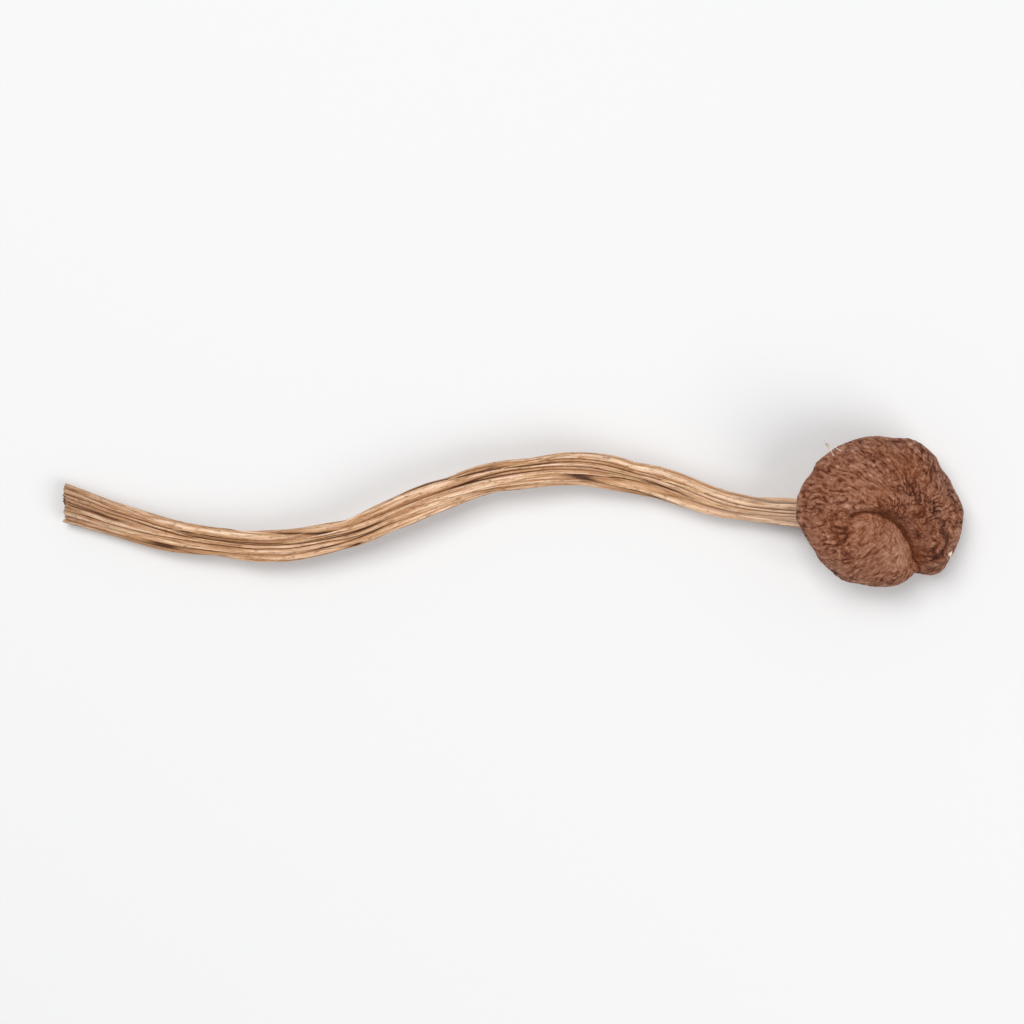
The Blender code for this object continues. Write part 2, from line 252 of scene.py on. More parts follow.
def crease_at(x, y):
    """At each (x, y): how far the crown has sunk, the lean over the crease, and the place by the crease.

    The place is the distance to it, the distance along it, how far outside of it, and how deep the
    crease is there, 0 to 1.
    """
    off_x, off_y = x[:, None] - CREASE_LINE[:-1, 0], y[:, None] - CREASE_LINE[:-1, 1]
    off = np.hypot(off_x, off_y)
    near = bell(off, CREASE_BLUR) + TINY
    near /= near.sum(axis=1)[:, None]
    way_x, way_y = (near @ CREASE_WAY).T
    outside = np.sum(near * (CREASE_WAY[:, 0] * off_y - CREASE_WAY[:, 1] * off_x), axis=1)
    outer = smoothstep(-SIDE_BLUR, SIDE_BLUR, outside)
    width = CREASE_INNER_WIDTH + (CREASE_OUTER_WIDTH - CREASE_INNER_WIDTH) * outer
    valley = CREASE_STRENGTH * CREASE_DEPTH * bell(off, width[:, None])
    sunk = np.max(valley + SLIT_STRENGTH * SLIT_DEPTH * bell(off, SLIT_WIDTH), axis=1)
    swollen = SWELL_HEIGHT * np.max(CREASE_STRENGTH * bell(off - SWELL_BESIDE, SWELL_WIDTH), axis=1)
    strength = near @ CREASE_STRENGTH
    leaning = LEAN_OVER * strength * bell(outside - LEAN_BESIDE, LEAN_WIDTH)
    place = off.min(axis=1), near @ CREASE_SHARE * crease_length, outside, strength
    return sunk - swollen * smoothstep(0.0, SIDE_BLUR, outside), leaning * way_y, -leaning * way_x, place


print("the crease is", round(float(crease_length), 1), "mm long")

# %% A point of the cap


def on_cap(share, height, angle, below=0.0):
    """The place, in the cap's own axes, of a share of the reach and a height at an angle round it.

    below is 0 on the skin, where the crease has its full depth, and 1 on the underside. The sinking
    there and the place by the crease come with it.
    """
    wide = 1.0 + (outline_factor(angle) - 1.0) * smoothstep(*OUTLINE_FADE, share)
    x = CAP_HALF_LENGTH * np.cos(angle) * wide * share
    y = CAP_HALF_WIDTH * np.sin(angle) * wide * share
    sinking, lean_x, lean_y, by_crease = crease_at(x, y)
    inside = smoothstep(*CREASE_FADE, share) * smoothstep(*EDGE_HEIGHTS, height)
    through = 1.0 + below * (CREASE_BELOW * smoothstep(*BELOW_FADE, share) - 1.0)
    z = height + rim_wave(angle) * smoothstep(*RIM_FADE, share) - sinking * inside * through
    lean = inside * (1.0 - below)
    return np.column_stack((x + lean_x * lean, y + lean_y * lean, z)), sinking * inside, by_crease


CAP_PLACE = Matrix.Translation(CAP_CENTRE)
CAP_PLACE @= Matrix.Rotation(CAP_LEAN, 4, "Y") @ Matrix.Rotation(CAP_ROLL, 4, "X")
print("the cap leans", round(math.degrees(CAP_LEAN)), "degrees")

# %% [markdown]
# ## The cap as a mesh
# The cap is one closed skin, from its crown over the rim to the middle of its underside. A ball of
# rings would do, but a rod is simpler to count: it is cut into many short steps, its rings are spread
# over the outline, and its two ends are drawn together to a point at the crown and at the middle of
# the underside, where the stem hides it. Most rings go to the skin, which has the fine wrinkles.

# %% A rod cut into rings


def cut_rod(sides, steps, ends):
    """A rod of radius 1 from Z = -1 to 1, cut into steps along its length."""
    rod = bmesh.new()
    bmesh.ops.create_cone(rod, cap_ends=ends, segments=sides, radius1=1.0, radius2=1.0, depth=2.0)
    upright = [edge for edge in rod.edges if abs(edge.verts[0].co.z - edge.verts[1].co.z) > 1.0]
    bmesh.ops.subdivide_edges(rod, edges=upright, cuts=steps - 1, use_grid_fill=True)
    return rod


def rod_places(rod):
    """Each vertex's angle round the rod, its share of the way down, and of the way out."""
    x, y, z = np.array([vert.co[:] for vert in rod.verts]).T
    return np.arctan2(y, x), 0.5 - 0.5 * z, np.minimum(np.hypot(x, y), 1.0)


def end_faces(rod):
    """The two many-sided faces that close a rod, the one at Z = -1 first."""
    ends = [face for face in rod.faces if len(face.verts) > 4]
    return sorted(ends, key=lambda face: face.verts[0].co.z)


# %% The cap's form
CAP_SIDES = 464
CAP_RINGS = ((0, 0.0), (122, WIDEST), (172, ROLL_END), (206, CENTRE_BELOW))  # ring, place on the profile
BETWEEN_POLES = CAP_RINGS[-1][0] - 2
UNDER_FADE = 1.5  # steps of the profile past the rolled edge over which the underside begins

cap = cut_rod(CAP_SIDES, BETWEEN_POLES, True)
bmesh.ops.poke(cap, faces=end_faces(cap))
cap_angle, down, out = rod_places(cap)
ring = 1.0 + BETWEEN_POLES * down - (out < 0.5) * np.sign(0.5 - down)
station = np.interp(ring, *np.transpose(CAP_RINGS))
share, height = curve_at(CAP_PROFILE, station).T
below = smoothstep(ROLL_END, ROLL_END + UNDER_FADE, station)
points, sunk, (from_crease, along_crease, outside, strength) = on_cap(share, height, cap_angle, below)
move_to(cap.verts, points)
cap.normal_update()
print("the cap's deepest sinking, mm:", round(float(sunk.max()), 2))

# %% [markdown]
# ## The wrinkles of the skin
# Dried skin shrinks less than the flesh under it, so it wrinkles: round little ridges with narrow
# valleys between them. The absolute value of noise has that shape, because it has a sharp valley
# wherever the noise changes its sign. A picture of wrinkles could be wrapped round the cap instead,
# but these are real relief, which also shows at the outline. Four patterns are mixed: folds that run
# towards the crown, rings round it, a net that has no direction, and pleats across the crease.

# %% Ridges and folds
PUCKERS, PUCKER_HEIGHT, PUCKER_FADE = 4.2, 0.45, (0.55, 0.95)
FOLD_WIDTH, FOLD_LENGTH, FOLD_HEIGHT, FOLD_STEEP = 0.95, 4.0, 0.30, 5.5
RING_WIDTH, RING_WAVES, RING_STEEP = 1.1, 3.0, 5.8
NET_WIDTH, NET_HEIGHT, NET_STEEP = 0.8, 0.26, 4.4
PLEAT_WIDTH, PLEAT_LENGTH, PLEAT_STEEP = 0.75, 2.6, 3.6
GRAIN_WIDTH, GRAIN_HEIGHT = 0.42, 0.05
HALF_REACH = 13.7  # the middle between the cap's two half widths
PROFILE_STEPS = 400
CROWN_FOLDS = 0.5  # nearer than this to the crown, in mm, the folds fork no more
FORK = 0.3, 0.7  # the part of each doubling of the distance in which they fork
ROUNDNESS = 0.7


def ridges(value, steep):
    """Round ridges, 0 in the narrow valleys where value changes its sign and 1 on top."""
    return np.tanh(steep * np.abs(value)) ** ROUNDNESS


def crown_distance(station):
    """Distance along the skin from the crown, in mm, at a station of the profile."""
    steps = np.linspace(0.0, CENTRE_BELOW, PROFILE_STEPS)
    outline = curve_at(CAP_PROFILE, steps) * (HALF_REACH, 1.0)
    along = np.append(0.0, np.cumsum(np.linalg.norm(np.diff(outline, axis=0), axis=1)))
    return np.interp(station, steps, along)


def forked_folds(angle, distance):
    """Folds that run towards the crown, and fork on the way out so that they keep their width."""
    doublings = np.log2(np.maximum(distance, CROWN_FOLDS) / FOLD_WIDTH)
    whole = np.floor(doublings)
    forked = smoothstep(*FORK, doublings - whole)
    inner = noise_round(angle, 2.0 ** whole, distance / FOLD_LENGTH + 7.3 * whole)
    outer = noise_round(angle, 2.0 ** (whole + 1.0), distance / FOLD_LENGTH + 7.3 * (whole + 1.0))
    return inner + (outer - inner) * forked


from_crown = crown_distance(station)
print("from crown to underside, mm:", round(float(from_crown.max()), 1))

# %% Four patterns of wrinkles
BENDS = (2.8, 0.8, 0.0), (1.1, 0.3, 5.0)  # in all lines: size and reach in mm, shift
RING_BENDS, PLEAT_BENDS = 1.5, 0.6  # how much of them the rings and the pleats take
STRAIGHTEST = 1.5  # nearer than this to the crown, in mm, the folds bend no more

wander = sum(reach * noise_of(points, size, shift) for size, reach, shift in BENDS)
fold_angle = cap_angle + wander / np.maximum(from_crown, STRAIGHTEST)
folds = ridges(forked_folds(fold_angle, from_crown + wander), FOLD_STEEP)
bent = (from_crown + RING_BENDS * wander) / RING_WIDTH
rings = ridges(noise_round(cap_angle, RING_WAVES, bent), RING_STEEP)
net = ridges(noise_of(points + wander[:, None], NET_WIDTH), NET_STEEP)
bent = (along_crease + PLEAT_BENDS * wander) / PLEAT_WIDTH
pleats = ridges(noise_at(bent, from_crease / PLEAT_LENGTH, 0.4), PLEAT_STEEP)
print("the lines stray by up to", round(float(np.abs(wander).max()), 2), "mm")

# %% Where each pattern shows
PATCHES = -0.3, 0.3  # from this noise to that one, a patch begins
STRONG_PATCH, LIVELY_PATCH = 2.4, 5.0  # mm across
SMOOTH_LOBE, LOBE_RADIUS = (-1.0, -6.0), 5.5  # the calmer skin inside the crease's curve
NET_BY_CROWN, NET_BY_CREASE = (6.0, 2.0), 3.0  # mm from them within which the net takes over
PLEATED_INSIDE, PLEATED_OUTSIDE, PLEATED_SIDES = 1.8, 3.4, (-0.5, 1.0)
PLEATED_FROM = 0.35, 0.95  # the pleats begin where the crease has this share of its depth

strong = smoothstep(*PATCHES, noise_of(points, STRONG_PATCH, 11.0))
near_crease = 0.9 * strength * bell(from_crease, NET_BY_CREASE)
tangled = np.maximum(smoothstep(*NET_BY_CROWN, from_crown), near_crease)
pleat_reach = PLEATED_INSIDE + (PLEATED_OUTSIDE - PLEATED_INSIDE) * smoothstep(*PLEATED_SIDES, outside)
pleated = bell(from_crease, pleat_reach) * smoothstep(*PLEATED_FROM, strength)
in_lobe = smoothstep(LOBE_RADIUS, 0.5 * LOBE_RADIUS, np.hypot(*(points[:, :2] - SMOOTH_LOBE).T))
lively = (1.0 - 0.6 * in_lobe) * (0.5 + 0.5 * smoothstep(*PATCHES, noise_of(points, LIVELY_PATCH, 3.0)))

# How deep each pattern cuts, 0 to 1. The weights are given here.
fold_share = (0.3 + 0.6 * strong) * (1.0 - 0.75 * tangled) * lively
net_share = (0.35 + 0.65 * tangled) * lively * (1.0 - 0.5 * pleated)
ring_share = 0.38 * (1.0 - tangled) * (1.0 - 0.6 * strong) * lively
print("mean depth of the net:", round(float(net_share.mean()), 2))

# %% A relief for the mesh and a tone for its colours
# The tone follows the relief: partly the skin's own colour, partly painted shade in its valleys and painted
# highlights on its ridges. The pleats' valleys and the slit along the crease's bottom get more painted
# shade.
PLEAT_CUT, PLEAT_SHADE = 0.75, 0.4  # what the pleats' valleys take from the relief and from the tone
# Painted light: the rim's tone is lifted towards its ridges' colour, most at the back.
RIM_FROM, RIM_BEHIND, RIM_PAINTED_LIGHT = (2.8, 4.4), (-0.4, 0.5), 0.4  # the rim's tone is calmer, most at the back
SLIT_SHADE, SHADE_WIDTH, SHADE_UNEVEN = 0.75, 0.42, 0.4
SHADE_FROM = 0.0, 0.2

relief = (1.0 - fold_share * (1.0 - folds)) * (1.0 - net_share * (1.0 - net))
relief *= 1.0 - ring_share * (1.0 - rings)
between_pleats = pleated * (1.0 - pleats)
near_rim = smoothstep(*RIM_FROM, station) * (0.5 + 0.5 * smoothstep(*RIM_BEHIND, np.sin(cap_angle)))
tone = 1.0 - (1.0 - relief * (1.0 - PLEAT_SHADE * between_pleats)) * (1.0 - RIM_PAINTED_LIGHT * near_rim)
slit_width = SHADE_WIDTH + SHADE_UNEVEN * wander
tone *= 1.0 - SLIT_SHADE * bell(from_crease, slit_width) * smoothstep(*SHADE_FROM, strength)
relief *= 1.0 - PLEAT_CUT * between_pleats
print("relief, 0 to 1:", np.round(np.percentile(relief, (5, 25, 50, 75, 95)), 2))

# %% Push the skin out by its wrinkles
MEAN_RELIEF = 0.6  # comes off the relief, so that the skin keeps its place on the whole
SKIN_FADE = 2.0  # steps of the profile, at the end of the rolled edge, over which the wrinkles end
EDGE_AT, EDGE_WIDTH = 7.6, 1.5  # the place of the rolled edge's own colour on the profile
LAY_ROUND, LAY_STRETCH = 9.0, 0.3  # the fibrils' own coordinates, drawn out towards the crown


def keep(bm, name, values):
    """Stores a number, or a place in a row, for each vertex, for a material to read."""
    kinds = bm.verts.layers.float if values.ndim == 1 else bm.verts.layers.float_vector
    layer = kinds.new(name)
    for vert, value in zip(bm.verts, values.tolist()):
        vert[layer] = value


on_skin = smoothstep(ROLL_END, ROLL_END - SKIN_FADE, station)
pucker = PUCKER_HEIGHT * noise_round(cap_angle, PUCKERS, 1.1 * share) * smoothstep(*PUCKER_FADE, share)
height_of = FOLD_HEIGHT + (NET_HEIGHT - FOLD_HEIGHT) * tangled
grain = noise_of(points, GRAIN_WIDTH)
pushed = on_skin * (pucker + height_of * (relief - MEAN_RELIEF)) + GRAIN_HEIGHT * grain
normals = np.array([vert.normal[:] for vert in cap.verts])
move_to(cap.verts, points + normals * pushed[:, None])
lay = np.column_stack((np.cos(fold_angle), np.sin(fold_angle), from_crown))
lay *= (LAY_ROUND, LAY_ROUND, LAY_STRETCH)

keep(cap, "tone", tone)
keep(cap, "sunk", np.clip(sunk / (CREASE_DEPTH + SLIT_DEPTH), 0.0, 1.0) * on_skin)
keep(cap, "edge", bell(station - EDGE_AT, EDGE_WIDTH))
keep(cap, "skin", on_skin)
keep(cap, "lay", lay)
cap_piece = finish_piece("cap", cap, CAP_PLACE)

# %% [markdown]
# ## The gills
# Gills are thin blades that hang from the flesh and run from the stem to the rim, with shorter ones
# between them near the rim. Each is a small grid: its length follows the underside, its width
# hangs down. Drying made them wavy. Solidify gives them their thickness.

# %% Gills
GILLS = 64
GILL_STEPS, GILL_ROWS = 9, 2
GILL_DEPTH, GILL_ROOT, GILL_THICKNESS = 2.5, 0.35, 0.17
LONG_GILL, SHORT_GILL = (11.1, 15.2), (11.1, 13.3)
GILL_WAVE, GILL_UNEVEN, GILL_STRAY = 0.035, 0.35, 0.25
GILL_ENDS = (0.8, 0.64), (0.08, 0.42)  # shares of the reach where a gill runs out, at the rim and the stem


def thicken(bm, thickness):
    """Turns open skins into thin closed bodies."""
    bmesh.ops.solidify(bm, geom=bm.verts[:] + bm.edges[:] + bm.faces[:], thickness=thickness)


gills = bmesh.new()
for number in range(2 * GILLS):
    blade = bmesh.ops.create_grid(gills, x_segments=GILL_STEPS, y_segments=GILL_ROWS, size=1.0)["verts"]
    start, end = LONG_GILL if number % 2 == 0 else SHORT_GILL
    x = np.array([vert.co.x for vert in blade])
    hang = np.array([0.5 - 0.5 * vert.co.y for vert in blade])
    gill_station = start + (end - start) * (0.5 + 0.5 * x)
    gill_share, root = curve_at(CAP_PROFILE, gill_station).T
    taper = smoothstep(*GILL_ENDS[0], gill_share) * smoothstep(*GILL_ENDS[1], gill_share)
    if number % 2:
        taper = taper * smoothstep(1.0, 0.2, x)
    wave = GILL_WAVE * noise_at(2.6 * gill_share, number * 1.7, hang * 0.8) * (0.25 + hang)
    gill_angle = (number + GILL_STRAY * math.sin(7.0 * number)) * math.pi / GILLS
    gill_angle = gill_angle + wave / np.maximum(gill_share, 0.3)
    drop = GILL_DEPTH * taper * (0.92 + GILL_UNEVEN * noise_at(number * 0.9, 0.4, 0.2))
    hanging = root + GILL_ROOT - hang * (drop + GILL_ROOT)
    move_to(blade, on_cap(gill_share, hanging, gill_angle, 1.0)[0])
thicken(gills, GILL_THICKNESS)
gills_piece = finish_piece("gills", gills, CAP_PLACE)

# %% [markdown]
# ## The veil
# A young cap is closed below by a skin, the veil, from its rim to its stem. Here it is still whole
# on one side, and has torn away on the other, where only a fringe hangs from the rim. It is made as
# an open tube with a fine grid. The grid's points go to the veil's curve, and the points that lie
# past a ragged line, or in a tear that opens towards the stem, are deleted. The new edge is smoothed
# a little before the skin gets its thickness, because a sharp fold there would grow a spike.

# %% The veil's measures
VEIL_PROFILE = np.array((
    (0.80, 0.75),  # on the rolled edge
    (0.73, 1.15),
    (0.72, 1.8),
    (0.69, 2.3),
    (0.62, 2.9),
    (0.50, 3.5),
    (0.36, 4.2),
    (0.22, 5.0),
))
VEIL_START, VEIL_END = math.radians(20.0), math.radians(182.0)
VEIL_SIDES, VEIL_ROWS = 300, 60
VEIL_THICKNESS = 0.13
FRINGE, FRINGE_RAGGED = 0.16, 1.6  # how far the torn side still reaches, and how raggedly
WHOLE_FADE = -0.25, 0.2  # radians over which the torn side turns into the whole one
PAST_STEM = 1.05  # the whole side reaches a little into the stem
RAGGED = ((0.5, 7.0, 0.3), (0.3, 23.0, 0.9))  # height, waves round the cap, place in the noise
VEIL_SAG, SAG_FADE = 0.3, (0.1, 0.3)
VEIL_FOLDS, VEIL_GRAIN = (0.5, 14.0, 1.6), (0.12, 30.0, 9.0)  # height, waves round and inwards
FOLD_FADE = 0.05, 0.3
TEARS = (  # angle, where it starts on the way inwards, half width at the stem
    (0.7, 0.45, 0.20), (1.3, 0.15, 0.28), (1.75, 0.6, 0.16), (2.3, 0.3, 0.24), (2.8, 0.55, 0.22),
)
TEAR_BENDS = ((0.3, 3.0, 0.0), (0.06, 17.0, 4.0))  # reach in radians, waves, place in the noise
TEAR_POINT = 1.3  # over 1, a tear starts as a sharp point


def veil_reach(angle):
    """How far the veil still reaches from the rim, 0 to 1, at an angle round the cap."""
    from_torn = np.minimum(turn_between(angle, VEIL_START), turn_between(VEIL_END, angle))
    whole = smoothstep(*WHOLE_FADE, from_torn)
    ragged = sum(height * noise_round(angle, waves, place) for height, waves, place in RAGGED)
    return FRINGE * (1.0 + FRINGE_RAGGED * ragged) + (PAST_STEM - FRINGE + 0.25 * ragged) * whole


# %% The veil


def smooth_verts(bm, verts, times):
    """Moves vertices halfway to the middle of their neighbours, a few times."""
    for smoothing in range(times):
        bmesh.ops.smooth_vert(bm, verts=verts, factor=0.5, use_axis_x=True, use_axis_y=True, use_axis_z=True)


veil = cut_rod(VEIL_SIDES, VEIL_ROWS, False)
angle, inward, _ = rod_places(veil)
share, height = curve_at(VEIL_PROFILE, inward * (len(VEIL_PROFILE) - 1)).T
sag = VEIL_SAG * noise_round(angle, 3.0, 3.0 * share) * smoothstep(*SAG_FADE, inward)
rise, waves, length = VEIL_FOLDS
wrinkle = rise * np.abs(noise_round(angle, waves, length * share))
rise, waves, length = VEIL_GRAIN
wrinkle += rise * noise_round(angle, waves, length * share)
rumpled = height + sag + wrinkle * smoothstep(*FOLD_FADE, inward)
points = on_cap(share, rumpled, angle, 1.0)[0]
points[:, 2] = rumpled + rim_wave(angle) * smoothstep(*RIM_FADE, share)  # no sinking at the crease
move_to(veil.verts, points)

torn = inward > veil_reach(angle)
for at, first, wide in TEARS:
    strays = sum(reach * noise_at(inward * waves, at, place) for reach, waves, place in TEAR_BENDS)
    tear_width = wide * np.maximum(inward - first, 0.0) ** TEAR_POINT
    torn |= np.abs(turn_between(angle, at + strays)) < tear_width
gone = [vert for vert, is_torn in zip(veil.verts, torn) if is_torn]
bmesh.ops.delete(veil, geom=gone, context="VERTS")
smooth_verts(veil, [vert for vert in veil.verts if vert.is_boundary], 4)
bmesh.ops.recalc_face_normals(veil, faces=veil.faces)
thicken(veil, VEIL_THICKNESS)
veil_piece = finish_piece("veil", veil, CAP_PLACE)

# %% [markdown]
# ## The stem
# The stem was round and fleshy, and dried into a flat, ribbed strap: stiff ribs with furrows between
# them where the soft flesh shrank. A curve with a bevel could carry it, but not the ribs, so it is a
# long cylinder, cut into many rings, that is laid along the curve. Noise round it, drawn out along
# it, gives broad ribs, narrower cords and fine lines. Its end face is inset several times, so that
# the cut has points of its own to dish and tear.

# %% The stem's measures
STEM_ROUTE = np.array((
    (-75.2, 1.4, 1.6), (-66.0, -1.6, 2.6), (-54.0, -4.6, 3.9),
    (-40.0, -5.8, 5.2), (-27.0, -3.6, 6.0), (-14.0, 1.9, 6.5),
    (-2.0, 5.6, 6.4), (10.8, 7.0, 5.8), (23.4, 4.9, 5.0),
    (35.7, 0.8, 4.5), (46.9, -0.35, 5.0), (52.6, -0.3, 6.4),
    (57.4, -0.1, 8.4), (60.7, 0.0, 10.3), (62.5, 0.0, 12.1),
))
STEM_WIDTHS = (  # full width of the flattened stem at shares of its length
    (0.00, 6.2), (0.05, 5.6), (0.18, 4.9),
    (0.36, 5.3), (0.52, 5.0), (0.66, 5.6),
    (0.82, 4.6), (0.93, 4.7), (1.00, 5.2),
)
STEM_FLATNESS = 0.68
STEM_SIDES, STEM_RINGS = 240, 390
STEM_SWELLS, SWELL_LENGTH = 0.3, 13.0
STEM_TURN = 0.012  # radians a millimetre
STEM_SHIVER, SHIVER_LENGTH = 0.05, 3.1
STEM_SWAY, SWAY_LENGTH = math.radians(14.0), 24.0
RIBS_ROUND, RIB_LENGTH, RIB_DEPTH, RIB_WIDTH = 1.15, 24.0, 0.45, 0.2
CORDS_ROUND, CORD_LENGTH, CORD_DEPTH, CORD_STEEP = 2.3, 46.0, 0.45, 3.8
LINES_ROUND, LINE_LENGTH, LINE_DEPTH, LINE_STEEP = 5.2, 30.0, 0.2, 3.8
MEAN_RIB, MEAN_LINE = 0.35, 0.2  # come off, so that the width stays
FIBRES_ROUND, FIBRE_LENGTH, FIBRE_DEPTH = 12.0, 9.0, 0.07
FURROW_DEPTH, FURROW_WIDTH, FURROW_AT = 0.7, 0.26, math.radians(70.0)
FURROW_WANDER, WANDER_LENGTH = 0.9, 31.0
FURROW_FROM_BASE, FURROW_FROM_TOP = (8.0, 26.0), (0.0, 14.0)  # mm over which it comes in and ends
COLLAR_FROM_TOP, COLLAR_HEIGHT, COLLAR_WIDTH, COLLAR_UNEVEN = 8.5, 0.55, 1.1, 0.8
BASE_DISH, BASE_SKEW, SKEW_LENGTH, SKEW_AT = 0.9, 1.1, 8.0, 0.6


def stem_form(angle, along, length):
    """The stem's reach from its middle line, how deep in a furrow it is, 0 to 1, and its plain reach."""
    half_width = 0.5 * np.interp(along / length, *np.transpose(STEM_WIDTHS))
    half_thick = half_width * STEM_FLATNESS
    oval = half_width * half_thick / np.hypot(half_thick * np.cos(angle), half_width * np.sin(angle))
    turned = angle + STEM_TURN * along
    turned += STEM_SHIVER * noise_round(angle, 0.6, along / SHIVER_LENGTH)
    ribs = bell(noise_round(turned, RIBS_ROUND, along / RIB_LENGTH), RIB_WIDTH)
    cords = 1.0 - ridges(noise_round(turned, CORDS_ROUND, along / CORD_LENGTH + 3.0), CORD_STEEP)
    lines = 1.0 - ridges(noise_round(turned, LINES_ROUND, along / LINE_LENGTH + 7.0), LINE_STEEP)
    fibres = noise_round(turned, FIBRES_ROUND, along / FIBRE_LENGTH)
    furrow_at = FURROW_AT + FURROW_WANDER * np.sin(along / WANDER_LENGTH)
    furrow = bell(turn_between(angle, furrow_at), FURROW_WIDTH)
    furrow *= smoothstep(*FURROW_FROM_BASE, along) * smoothstep(*FURROW_FROM_TOP, length - along)
    swell = STEM_SWELLS * noise_round(angle, 0.7, along / SWELL_LENGTH)
    from_collar = along - (length - COLLAR_FROM_TOP) - COLLAR_UNEVEN * noise_round(angle, 1.0, 8.3)
    plain = oval + swell + COLLAR_HEIGHT * bell(from_collar, COLLAR_WIDTH)
    reach = plain - RIB_DEPTH * (ribs - MEAN_RIB) - FURROW_DEPTH * furrow
    reach -= CORD_DEPTH * (cords - MEAN_LINE) + LINE_DEPTH * (lines - MEAN_LINE) - FIBRE_DEPTH * fibres
    groove = np.maximum(np.maximum(cords, 0.75 * lines), 0.25 * ribs + 0.3 * furrow)
    return reach, groove, plain


# %% The stem as a cylinder with an inset end
INSETS, INSET_WIDTH = 14, 0.066

stem = cut_rod(STEM_SIDES, STEM_RINGS, True)
cut_end = end_faces(stem)[0]
for inset in range(INSETS):
    bmesh.ops.inset_individual(stem, faces=[cut_end], thickness=INSET_WIDTH)
bmesh.ops.poke(stem, faces=end_faces(stem))
print("the stem's points:", len(stem.verts))

# %% The stem's middle line
route, stem_length = even_points(STEM_ROUTE, STEM_RINGS + 1)
ahead = np.gradient(route, axis=0)
ahead /= np.linalg.norm(ahead, axis=1)[:, None]
across = np.cross(ahead, (0.0, 0.0, 1.0))
across /= np.linalg.norm(across, axis=1)[:, None]
upward = np.cross(across, ahead)


def on_stem(angle, along, reach, forward=0.0):
    """Places at an angle round the stem, a distance along it and a reach from its middle line."""
    at = along / stem_length * STEM_RINGS
    tables = np.hstack((route, across, upward, ahead))
    rows = [np.interp(at, np.arange(STEM_RINGS + 1), column) for column in tables.T]
    middle, aside, above, on = np.split(np.column_stack(rows), 4, axis=1)
    swayed = (angle + STEM_SWAY * np.sin(along / SWAY_LENGTH))[:, None]
    way_out = aside * np.cos(swayed) + above * np.sin(swayed)
    forward = np.broadcast_to(forward, angle.shape)
    return middle + way_out * reach[:, None] + on * forward[:, None]


print("the stem is", round(float(stem_length), 1), "mm long")

# %% The stem along its curve
CUT_BUMPS, CUT_TORN = ((0.9, 0.5), (0.35, 0.3)), (1.0, 0.85)  # sizes and heights, shares of the reach
CUT_PIT, PIT_DEPTH, PIT_UNEVEN = (1.1, 0.4), 0.9, 0.6  # the shrunken core: half its length and width
CUT_FADE, RIM_HOLD = 6, 8  # powers that keep the ribs and the ragged rim at the edge of the cut
RIM_LENGTH, RIM_HEIGHT, RIM_NOTCHES = 1.6, 0.4, 5.5

angle, down, inner = rod_places(stem)
along = stem_length * np.round((1.0 - down) * STEM_RINGS) / STEM_RINGS
at_cut = (along == 0.0) * 1.0
reach, groove, plain = stem_form(angle, along, stem_length)
reach = inner * (plain + (reach - plain) * inner ** CUT_FADE)
flat = np.column_stack((reach * np.cos(angle), reach * np.sin(angle), along))
skew = BASE_SKEW * np.cos(angle - SKEW_AT) * smoothstep(SKEW_LENGTH, 0.0, along) * inner
torn = sum(height * noise_of(flat, size) for size, height in CUT_BUMPS)
pit = bell(np.hypot(*(flat[:, :2] / CUT_PIT).T) * (1.0 + noise_of(flat, PIT_UNEVEN)), 1.0)
dish = at_cut * (BASE_DISH * (1.0 - inner ** 2) + torn * smoothstep(*CUT_TORN, inner) + PIT_DEPTH * pit)
ragged = smoothstep(RIM_LENGTH, 0.0, along) * RIM_HEIGHT * noise_round(angle, RIM_NOTCHES, 0.0)
move_to(stem.verts, on_stem(angle, along, reach, skew + dish + ragged * inner ** RIM_HOLD))

keep(stem, "groove", groove * (1.0 - at_cut))
keep(stem, "cut", at_cut * smoothstep(1.02, 0.9, inner))
keep(stem, "along", along / stem_length)
keep(stem, "pit", at_cut * pit)
keep(stem, "grain", flat)
stem_piece = finish_piece("stem", stem)

# %% [markdown]
# ## Peeled fibres
# A dried stem splinters: here and there a thin strip of its skin has come loose at one end. Each is
# a narrow grid that starts just under the surface, follows the stem, and bends away from it.

# %% Peeled fibres
FIBRES, FIBRE_STEPS, FIBRE_THICKNESS = 17, 16, 0.05
GOLDEN_SHARE = 0.618  # spreads the fibres evenly along the stem and round it
FIRST_FIBRE, FIBRES_FREE = 14.0, 44.0  # mm from the base, and mm of the stem without them in all
FIBRE_LENGTHS, FIBRE_DEGREES = (4.0, 8.0), (10.0, 160.0)  # the least, and how much more at most
FIBRE_WIDTHS, FIBRE_LIFTS = (0.12, 0.10), (0.2, 0.6)
FIBRE_ROOT, FIBRE_RISE, FIBRE_TURN = 0.12, 0.14, 0.5


def pick_from(choice, least, more):
    """The measure that a number, 0 to 1, chooses."""
    return least + more * choice


peeled = bmesh.new()
for number in range(FIBRES):
    strip = bmesh.ops.create_grid(peeled, x_segments=FIBRE_STEPS, y_segments=1, size=1.0)["verts"]
    x, y = np.array([vert.co[:2] for vert in strip]).T
    loose = 0.5 + 0.5 * x
    pick = (number * GOLDEN_SHARE) % 1.0
    other = (number * GOLDEN_SHARE * 4.3 + 0.2) % 1.0
    reaching = pick_from(other, *FIBRE_LENGTHS) * (1.0 if number % 3 else -1.0)
    along = FIRST_FIBRE + pick * (stem_length - FIBRES_FREE) + reaching * loose
    angle = math.radians(pick_from(other, *FIBRE_DEGREES)) + (pick - 0.5) * FIBRE_TURN * loose ** 2
    half_width = pick_from(pick, *FIBRE_WIDTHS) * (1.0 - 0.9 * loose ** 1.5)
    reach, _, _ = stem_form(angle, along, stem_length)
    lift = -FIBRE_ROOT + FIBRE_RISE * smoothstep(0.0, 0.2, loose)
    lift += pick_from(other, *FIBRE_LIFTS) * loose ** 3
    spread = y * half_width / reach
    move_to(strip, on_stem(angle + spread, along, reach + lift))
thicken(peeled, FIBRE_THICKNESS)
peeled_piece = finish_piece("peeled_fibres", peeled)

